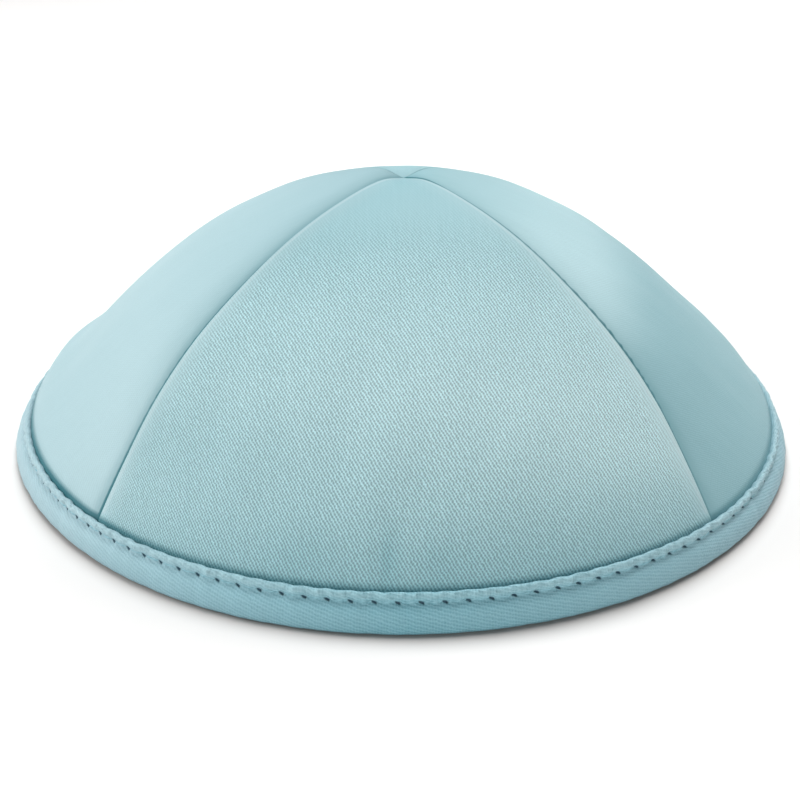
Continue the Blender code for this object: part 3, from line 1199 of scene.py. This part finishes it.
def stitch_binding(sizes, name):
    """All the stitches round the binding, copied from one and joined."""
    pattern = stitch(sizes)
    chance = np.random.default_rng(21)
    pitch = math.tau / sizes.stitches
    groove_height = GROOVE[1] / 1000
    copies = []
    for number in range(sizes.stitches):
        angle = STITCH_START + (number + 0.5) * pitch
        degrees = math.degrees(angle)
        copy = pattern.copy()
        copy.data = pattern.data.copy()
        bpy.context.collection.objects.link(copy)
        out, up = rim_wander(np.array(degrees), groove_height / sizes.lip_height)
        radius = sizes.rim_radius + GROOVE[0] / 1000 + THREAD_LIFT + float(out)
        height = groove_height + float(up)
        tilt = chance.uniform(-STITCH_TILT, STITCH_TILT)
        copy.matrix_world = (Matrix.Rotation(angle, 4, "Z")
                             @ Matrix.Translation((0, -radius, height))
                             @ Matrix.Rotation(tilt, 4, "Y"))
        copies.append(copy)
    bpy.data.objects.remove(pattern)
    start_fresh()
    for copy in copies:
        copy.select_set(True)
    bpy.context.view_layer.objects.active = copies[0]
    bpy.ops.object.transform_apply(location=True, rotation=True, scale=True)
    bpy.ops.object.join()
    piece = name_active(name)
    bpy.ops.object.shade_smooth()
    return piece


class SKULLCAP_OT_stitch_binding(bpy.types.Operator):
    """Stitch the binding to the cap"""

    bl_idname = "skullcap.stitch_binding"
    bl_label = "Stitch Binding"

    def execute(self, context):
        sizes = context.scene.skullcap_sizes
        piece = stitch_binding(sizes, "binding_stitches")
        wear(piece, thread_finish("binding_thread", context.scene.skullcap_colours))
        return {"FINISHED"}


# The stage


def lay_floor(colours):
    """The paper floor, with a contact shadow painted in a narrow ring beside the rim."""
    start_fresh()
    bpy.ops.mesh.primitive_plane_add(size=8, location=(0, 0, -0.00005))
    floor = name_active("floor")
    finish = Finish("floor_paper")
    place = finish.node("ShaderNodeTexCoord", {}, {}, 3)
    grain = finish.noise(place, 400.0)
    radius = finish.node("ShaderNodeVectorMath", {"operation": "LENGTH"}, {0: place}, 1)
    forward = finish.node("ShaderNodeSeparateXYZ", {}, {0: place}, 1)
    forward = (forward * -SHADOW_TURN).clamped()
    # Painted contact shadow: darker in a ring beside the rim, reaching farther in front
    painted_shadow = (1 - (radius - SHADOW_START) / (forward * SHADOW_FRONT + SHADOW_WIDTH)).clamped()
    base = finish.blend(painted_shadow * painted_shadow * SHADOW_SHARE, colour(colours.floor),
                        colour(colours.shadow))
    finish.surface(Base_Color=base, Roughness=grain * 0.1 + 0.75)
    floor.data.materials.append(finish.material)


def add_softbox(name, power, size, place, target):
    """A square area light that faces a point."""
    start_fresh()
    bpy.ops.object.light_add(type="AREA", location=place)
    lamp = bpy.context.active_object
    lamp.name = name
    lamp.data.energy = power
    lamp.data.shape = "SQUARE"
    lamp.data.size = size
    aim = Vector(target) - Vector(place)
    lamp.rotation_euler = aim.to_track_quat("-Z", "Y").to_euler()


def add_camera(view):
    """The camera at the picture's angle."""
    start_fresh()
    target = Matrix.Rotation(view.turn, 3, "Z") @ Vector(LOOK_AT)
    back = Vector((0, -math.cos(view.elevation), math.sin(view.elevation)))
    back = Matrix.Rotation(view.turn, 3, "Z") @ back
    bpy.ops.object.camera_add(location=target + back * view.distance)
    camera = bpy.context.active_object
    camera.name = "picture_camera"
    facing = (-back).to_track_quat("-Z", "Y").to_matrix()
    camera.rotation_euler = (facing @ Matrix.Rotation(view.roll, 3, "Z")).to_euler()
    camera.data.sensor_width = 36
    camera.data.lens = view.lens
    camera.data.clip_start = 0.01
    camera.data.clip_end = 20
    bpy.context.scene.camera = camera


class SKULLCAP_OT_set_stage(bpy.types.Operator):
    """Lay the floor and set the lights and the camera"""

    bl_idname = "skullcap.set_stage"
    bl_label = "Set Stage"

    def execute(self, context):
        view = context.scene.skullcap_view
        lay_floor(context.scene.skullcap_colours)
        for side, width, place in SOFTBOXES:
            add_softbox(side + "_softbox", getattr(view, side), width, place, LIGHTS_AIM)
        world = bpy.data.worlds.new("studio")
        world.use_nodes = True
        world.node_tree.nodes["Background"].inputs["Strength"].default_value = view.sky
        world.node_tree.nodes["Background"].inputs["Color"].default_value = (1, 1, 1, 1)
        context.scene.world = world
        context.scene.view_settings.view_transform = "Standard"
        add_camera(view)
        return {"FINISHED"}


class SKULLCAP_PT_sidebar(bpy.types.Panel):
    """The skullcap's steps, sizes and colours"""

    bl_idname = "SKULLCAP_PT_sidebar"
    bl_label = "Skullcap"
    bl_space_type = "VIEW_3D"
    bl_region_type = "UI"
    bl_category = "Skullcap"

    def draw(self, context):
        for step in STEPS:
            self.layout.operator(step.bl_idname)
        for group in (context.scene.skullcap_sizes, context.scene.skullcap_colours,
                      context.scene.skullcap_view):
            box = self.layout.box()
            for name in group.__annotations__:
                box.prop(group, name)


STEPS = (SKULLCAP_OT_sew_panels, SKULLCAP_OT_fold_binding, SKULLCAP_OT_stitch_binding,
         SKULLCAP_OT_set_stage)
GROUPS = {"skullcap_sizes": SkullcapSizes, "skullcap_colours": SkullcapColours,
          "skullcap_view": SkullcapView}


def register():
    for group in GROUPS.values():
        bpy.utils.register_class(group)
    for name, group in GROUPS.items():
        setattr(bpy.types.Scene, name, PointerProperty(type=group))
    for made in (*STEPS, SKULLCAP_PT_sidebar):
        bpy.utils.register_class(made)


def unregister():
    for made in reversed((*STEPS, SKULLCAP_PT_sidebar)):
        bpy.utils.unregister_class(made)
    for name in GROUPS:
        delattr(bpy.types.Scene, name)
    for group in reversed(GROUPS.values()):
        bpy.utils.unregister_class(group)


def main():
    register()
    bpy.ops.skullcap.sew_panels()
    bpy.ops.skullcap.fold_binding()
    bpy.ops.skullcap.stitch_binding()
    bpy.ops.skullcap.set_stage()


if __name__ == "__main__":
    main()
